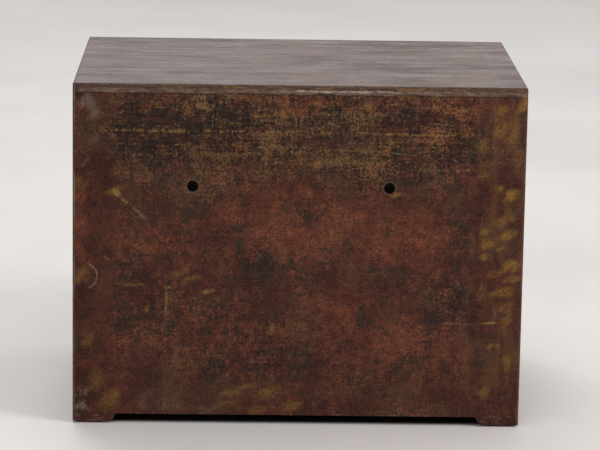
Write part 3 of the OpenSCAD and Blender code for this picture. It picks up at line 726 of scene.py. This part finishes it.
def casing_edge(s):
    """Distance from the nearest outer edge of the casing."""
    across = s.math("SUBTRACT", HALF_WIDTH, s.math("ABSOLUTE", s.x))
    centre_y = (FRONT_Y + BACK_Y) / 2
    from_centre = s.math("ABSOLUTE", s.math("SUBTRACT", s.y, centre_y))
    along = s.math("SUBTRACT", BACK_Y - centre_y, from_centre)
    return middle_one(s, across, along, s.math("SUBTRACT", TOP_Z, s.z))


def drawer_edge(s):
    """Distance from the nearest outer edge of the drawer front that a point is on."""
    low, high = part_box("drawer_5_front")
    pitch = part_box("drawer_3_front")[0].z - low.z
    centre_x = abs(low.x + high.x) / 2
    from_centre = s.math("ABSOLUTE", s.math("SUBTRACT", s.math("ABSOLUTE", s.x), centre_x))
    across = s.math("SUBTRACT", (high.x - low.x) / 2, from_centre)
    height = s.math("MODULO", s.math("SUBTRACT", s.z, low.z), pitch)
    half_height = (high.z - low.z) / 2
    up = s.math("SUBTRACT", half_height, s.math("ABSOLUTE", s.math("SUBTRACT", height, half_height)))
    return middle_one(s, across, up, s.math("SUBTRACT", s.y, low.y))


# ---------------------------------------------------------------- other steel, card, rubber and floor

# The inside sheets' colours, each as (dark, light, rust).
INNER_COLOURS = ((0.022, 0.016, 0.013), (0.070, 0.050, 0.038), (0.085, 0.034, 0.018))
TRAY_COLOURS = ((0.052, 0.041, 0.033), (0.150, 0.122, 0.098), (0.135, 0.058, 0.028))
DIVIDER_COLOURS = ((0.034, 0.026, 0.021), (0.095, 0.072, 0.056), (0.120, 0.050, 0.025))
# How far the inside sheets' two sets of scratches lean.
SCRATCH_LEANS = (0.35, 0.2)

RUNNER_DARK = (0.15, 0.13, 0.11)
RUNNER_LIGHT = (0.34, 0.31, 0.28)
SCREW_DARK = (0.20, 0.18, 0.15)
SCREW_LIGHT = (0.42, 0.39, 0.35)

PLATE_BROWN = (0.085, 0.060, 0.042)
PLATE_DULL = (0.250, 0.205, 0.160)
PLATE_BRIGHT = (0.46, 0.41, 0.345)
PLATE_RUST = (0.120, 0.048, 0.024)

CARD_DARK = (0.33, 0.235, 0.135)
CARD_LIGHT = (0.52, 0.43, 0.29)
FOXING = (0.16, 0.085, 0.040)
RULE_INK = (0.10, 0.10, 0.15)
# The two ruled lines, each from a lower to an upper part of the card's height.
RULES = ((0.355, 0.367), (0.610, 0.622))
RULE_BLUR = 0.006

RUBBER_BLACK = (0.010, 0.010, 0.010)
RUBBER_DUST = (0.045, 0.041, 0.037)

FLOOR_SIZE = 40.0
FLOOR_DROP = 0.0002
FLOOR_DARK = (0.70, 0.672, 0.655)
FLOOR_LIGHT = (0.78, 0.752, 0.735)
FLOOR_SPECK = (0.42, 0.39, 0.36)
# The colour of the painted shadow on the floor under the cabinet.
PAINTED_SHADOW_UNDER = (0.012, 0.008, 0.007)


def plain_steel(name, dark, light, roughness, metallic, grain=(1.0, 1.0, 1.0)):
    """Bare or dull steel with a grain that runs along one axis, stains and fine pits."""
    s = Shade(name)
    lines = s.noise(s.scaled(s.place, [420.0 * factor for factor in grain]), 1.0, 3.0, 0.6, 1.0)
    stain = s.noise(s.place, 18.0, 5.0, 0.6, 2.0)
    pits = s.noise(s.place, 700.0, 2.0, 0.6, 3.0)
    amount = s.weigh((lines, 0.45), (stain, 0.55))
    colour = s.mix(s.ramp(amount, 0.36, 0.64), dark, light)
    colour = s.mix(s.multiply(s.ramp(pits, 0.60, 0.74), 0.5), colour, UMBER)
    rough = s.add(roughness - 0.10, s.multiply(stain, 0.2))
    height = s.add(lines, s.multiply(pits, 0.4))
    return s.finish(colour, rough, metallic, s.relief(height, 0.0003, 0.4))


def sheet_steel(name, colours, roughness, metallic):
    """Dull sheet steel: scale in soft clouds, rust freckles and crossing scratches. What faces the
    cabinet's back is darkened with painted shade."""
    s = Shade(name)
    dark, light, rust = colours
    flat = surface_place(s)
    cloud = s.grain(flat, 9.0, 5.0, 0.62, 31.0)
    mottle = s.grain(flat, 75.0, 4.0, 0.65, 32.0)
    colour = s.mix(s.ramp(s.add(cloud, s.multiply(mottle, 0.6)), -2.0, 2.2), dark, light)
    freckle = s.add(s.grain(flat, 300.0, 3.0, 0.6, 33.0), s.multiply(cloud, 0.9))
    colour = s.mix(s.multiply(s.ramp(freckle, 0.9, 3.0), 0.75), colour, rust)
    across, up, _ = s.split(flat)
    first_lean, second_lean = SCRATCH_LEANS
    lean = s.join(s.add(across, s.multiply(up, first_lean)), s.add(up, s.multiply(across, -first_lean)))
    first = s.grain(lean, (14.0, 900.0), 2.0, 0.5, 34.0)
    lean = s.join(up, s.add(across, s.multiply(up, second_lean)))
    second = s.grain(lean, (20.0, 1100.0), 2.0, 0.5, 35.0)
    scratched = s.multiply(s.ramp(s.most(first, second), 1.9, 3.2), s.ramp(mottle, -0.6, 1.4))
    colour = s.mix(s.multiply(scratched, 0.22), colour, BARE)
    # Painted shade: faces turned towards the cabinet's back (+Y) are darkened, standing in for the shadow
    # inside the cabinet.
    colour = s.mix(s.multiply(s.ramp(s.normal[1], 0.6, 0.9), 0.8), colour, BLUE_BLACK)
    rough = s.add(roughness, s.weigh((cloud, 0.03), (mottle, 0.02), (scratched, -0.08)))
    height = s.weigh((mottle, 0.5), (cloud, 2.0), (freckle, 0.4))
    return s.finish(colour, rough, metallic, s.relief(height, 0.00010, 0.5))


def handled_steel(name, node):
    """Plated steel gone brown, and rubbed bright where it stands out furthest from the drawer's front."""
    s = Shade(name)
    low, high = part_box(node)
    cloud = s.noise(s.place, 60.0, 4.0, 0.6, 1.0)
    mottle = s.noise(s.place, 330.0, 4.0, 0.65, 2.0)
    out = s.ramp(s.y, high.y - 0.2 * (high.y - low.y), low.y)
    dull = s.ramp(s.weigh((cloud, 0.6), (mottle, 0.4)), 0.40, 0.62)
    colour = s.mix(dull, PLATE_BROWN, PLATE_DULL)
    bright = s.weigh((out, 0.8), (mottle, 1.6), (cloud, 1.4))
    bright = s.multiply(s.ramp(bright, 1.45, 2.65), 0.9)
    colour = s.mix(bright, colour, PLATE_BRIGHT)
    rust = s.ramp(s.noise(s.place, 210.0, 4.0, 0.7, 3.0), 0.56, 0.70)
    colour = s.mix(s.multiply(rust, s.add(0.75, s.multiply(out, -0.45))), colour, PLATE_RUST)
    rough = s.add(0.46, s.weigh((bright, -0.08), (mottle, 0.10)))
    return s.finish(colour, rough, s.add(0.70, s.multiply(bright, 0.25)), s.relief(mottle, 0.00015, 0.4))


def card_paper():
    """Yellowed card with foxing and two faint ruled lines."""
    s = Shade("card_paper")
    flat = s.join(s.x, s.z)
    age = s.grain(flat, 45.0, 4.0, 0.6, 41.0)
    fibre = s.grain(flat, (420.0, 900.0), 3.0, 0.6, 42.0)
    spots = s.grain(flat, 160.0, 3.0, 0.6, 43.0)
    colour = s.mix(s.ramp(s.add(age, s.multiply(fibre, 0.3)), -1.8, 1.8), CARD_DARK, CARD_LIGHT)
    colour = s.mix(s.multiply(s.ramp(s.add(spots, age), 1.4, 3.4), 0.6), colour, FOXING)
    up = s.split(s.node("ShaderNodeTexCoord").outputs["Generated"])[2]
    rules = s.most(*[s.band(up, low, high, RULE_BLUR) for low, high in RULES])
    colour = s.mix(s.multiply(rules, s.ramp(fibre, -1.5, 1.0, (0.2, 0.5))), colour, RULE_INK)
    return s.finish(colour, s.add(0.78, s.multiply(fibre, 0.02)), 0.0, s.relief(fibre, 0.00005, 0.5))


def rubber():
    """Black rubber with dust on it."""
    s = Shade("pad_rubber")
    dust = s.noise(s.place, 55.0, 4.0, 0.6, 1.0)
    pores = s.noise(s.place, 900.0, 2.0, 0.5, 2.0)
    colour = s.mix(s.ramp(dust, 0.5, 0.75), RUBBER_BLACK, RUBBER_DUST)
    return s.finish(colour, s.add(0.72, s.multiply(dust, 0.2)), 0.0, s.relief(pores, 0.0002, 0.5))


def floor_material():
    """A pale floor. Under the cabinet it is painted dark, to keep the gap below the back as dark as in the
    photograph."""
    s = Shade("floor_material")
    cloud = s.noise(s.place, 1.6, 5.0, 0.55, 1.0)
    speck = s.noise(s.place, 90.0, 4.0, 0.6, 2.0)
    colour = s.mix(s.ramp(cloud, 0.3, 0.7), FLOOR_DARK, FLOOR_LIGHT)
    colour = s.mix(s.multiply(s.ramp(speck, 0.55, 0.75), 0.12), colour, FLOOR_SPECK)
    # Painted shadow: the floor is darkened inside the cabinet's outline.
    under = s.multiply(
        s.ramp(s.math("ABSOLUTE", s.x), HALF_WIDTH - 0.004, HALF_WIDTH - 0.022),
        s.band(s.y, FRONT_Y + 0.022, BACK_Y - 0.022, 0.018),
    )
    colour = s.mix(under, colour, PAINTED_SHADOW_UNDER)
    return s.finish(colour, s.add(0.42, s.multiply(cloud, 0.2)), 0.0, s.relief(speck, 0.0006, 0.25))


def add_floor():
    mesh = bpy.data.meshes.new("floor")
    half = FLOOR_SIZE / 2
    corners = [(-half, -half, 0), (half, -half, 0), (half, half, 0), (-half, half, 0)]
    mesh.from_pydata(corners, [], [(0, 1, 2, 3)])
    mesh.materials.append(floor_material())
    floor = place_in_scene("floor", mesh, Matrix.Translation((0, 0, -FLOOR_DROP)))


add_camera()
add_studio()
add_floor()

# ---------------------------------------------------------------- materials on the CAD nodes

CASING = patina("casing_patina", 0.08, casing_edge, behind=True)
TOP = patina("top_patina", 0.28, casing_edge, behind=True)
FRAME = patina("frame_patina", 0.15, casing_edge)
FRONT = patina("front_patina", 0.15, drawer_edge)
INNER = sheet_steel("inner_steel", INNER_COLOURS, 0.60, 0.1)
TRAY = sheet_steel("tray_steel", TRAY_COLOURS, 0.46, 0.5)
DIVIDER = sheet_steel("divider_steel", DIVIDER_COLOURS, 0.44, 0.3)
RUNNER = plain_steel("runner_steel", RUNNER_DARK, RUNNER_LIGHT, 0.42, 0.8, (1.0, 0.05, 1.0))
PULL = handled_steel("pull_steel", "drawer_1_pull")
HOLDER = handled_steel("holder_steel", "drawer_1_label_holder")
SCREW = plain_steel("screw_steel", SCREW_DARK, SCREW_LIGHT, 0.34, 0.9)
PAD = rubber()

LOOKS = {
    "left_side_panel": CASING, "right_side_panel": CASING, "top_panel": TOP, "back_panel": CASING,
    "plinth_rail": FRAME, "centre_stile": FRAME, "top_rail": FRAME,
    "back_stiffener": INNER, "back_seam_straps": INNER, "base_pan": INNER, "centre_partition": INNER,
    "foot_plates": INNER, "left_bay_runners": RUNNER, "right_bay_runners": RUNNER,
    "drawer_buffers": PAD, "foot_pads": PAD,
}
DRAWER_LOOKS = {
    "tray": TRAY, "front": FRONT, "pull": PULL, "label_holder": HOLDER, "track": RUNNER,
    "follower": DIVIDER, "screws": SCREW,
}
for number in DRAWERS:
    for piece, look in DRAWER_LOOKS.items():
        LOOKS[f"drawer_{number}_{piece}"] = look

for name, look in LOOKS.items():
    node = NODES[name]
    node.data.materials.clear()
    node.data.materials.append(look)

# ---------------------------------------------------------------- label cards

CARD_SIZE = (0.062, 0.027)
CARD_THICKNESS = 0.0003
CARD_CORNER = 0.0025
# Distance in front of the drawer's front: at the card's ends, and how much more in its middle.
CARD_STAND = 0.0002
CARD_BOW = 0.0006
# How far the card's middle is above its holder's.
CARD_RAISE = 0.0009
# How far each drawer's card leans, in degrees.
CARD_LEANS = (0.35, -0.25, 0.10, -0.40, 0.30, -0.10)
# How finely the card is divided, across and up.
CARD_GRID = (40, 6)
CARD_SHARP_ANGLE = math.radians(40)


def card_mesh(name):
    """A thin card with rounded corners, bowed towards the window of its holder (towards -Y)."""
    columns, rows = CARD_GRID
    half_width, half_height = CARD_SIZE[0] / 2, CARD_SIZE[1] / 2
    points = []
    for layer in (CARD_THICKNESS, 0.0):
        for i in range(columns + 1):
            across = math.sin((i / columns - 0.5) * math.pi)
            into_corner = max(0.0, abs(across) * half_width - (half_width - CARD_CORNER))
            drop = CARD_CORNER - math.sqrt(CARD_CORNER**2 - into_corner**2)
            out = CARD_STAND + CARD_BOW * (1 - across**2) + layer
            for j in range(rows + 1):
                up = (j / rows * 2 - 1) * (half_height - drop)
                points.append((across * half_width, -out, up))
    step = rows + 1
    back = (columns + 1) * step
    faces = []
    for i in range(columns):
        for j in range(rows):
            corner = i * step + j
            outer = (corner, corner + step, corner + step + 1, corner + 1)
            faces.append(outer)
            faces.append(tuple(back + index for index in reversed(outer)))
    rim = [i * step for i in range(columns + 1)] + [columns * step + j for j in range(1, step)]
    rim += [i * step + rows for i in range(columns - 1, -1, -1)] + [j for j in range(rows - 1, 0, -1)]
    for first, second in zip(rim, rim[1:] + rim[:1]):
        faces.append((first, back + first, back + second, second))
    mesh = bpy.data.meshes.new(name)
    mesh.from_pydata(points, [], faces)
    mesh.shade_smooth()
    mesh.set_sharp_from_angle(angle=CARD_SHARP_ANGLE)
    return mesh


def add_label_card(number, lean, paper):
    """A card in the holder of one drawer, leaning a little as if pushed in by hand."""
    name = f"drawer_{number}_label_card"
    mesh = card_mesh(name)
    low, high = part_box(f"drawer_{number}_label_holder")
    middle = Vector(((low.x + high.x) / 2, high.y, (low.z + high.z) / 2 + CARD_RAISE))
    mesh.transform(Matrix.Translation(middle) @ Matrix.Rotation(math.radians(lean), 4, "Y"))
    mesh.materials.append(paper)
    card = place_in_scene(name, mesh, Matrix.Identity(4))
    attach(card, f"drawer_{number}")


CARD_PAPER = card_paper()
for number, lean in zip(DRAWERS, CARD_LEANS):
    add_label_card(number, lean, CARD_PAPER)
